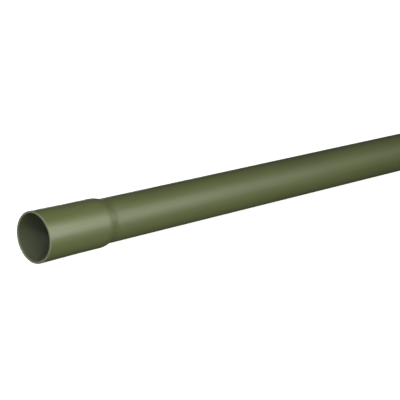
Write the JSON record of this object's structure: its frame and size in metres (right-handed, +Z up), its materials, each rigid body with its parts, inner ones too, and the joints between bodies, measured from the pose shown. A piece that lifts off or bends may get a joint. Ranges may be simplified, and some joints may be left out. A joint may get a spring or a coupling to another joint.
{
  "type": "pvc conduit",
  "caption": "Straight length of thin-walled rigid plastic electrical conduit with a plain bevelled end and an integral socket formed on the other end, for drawing cables through.",
  "frame": {"origin": "on the floor, under the middle of the length", "axes": "+X along the tube from the socket towards the plain end, +Y across it, +Z up"},
  "size_m": [3, 0.03, 0.0301],
  "materials": {
    "pvc": "satin"
  },
  "bodies": {
    "root": {"conduit": "pvc"}
  },
  "joints": []
}
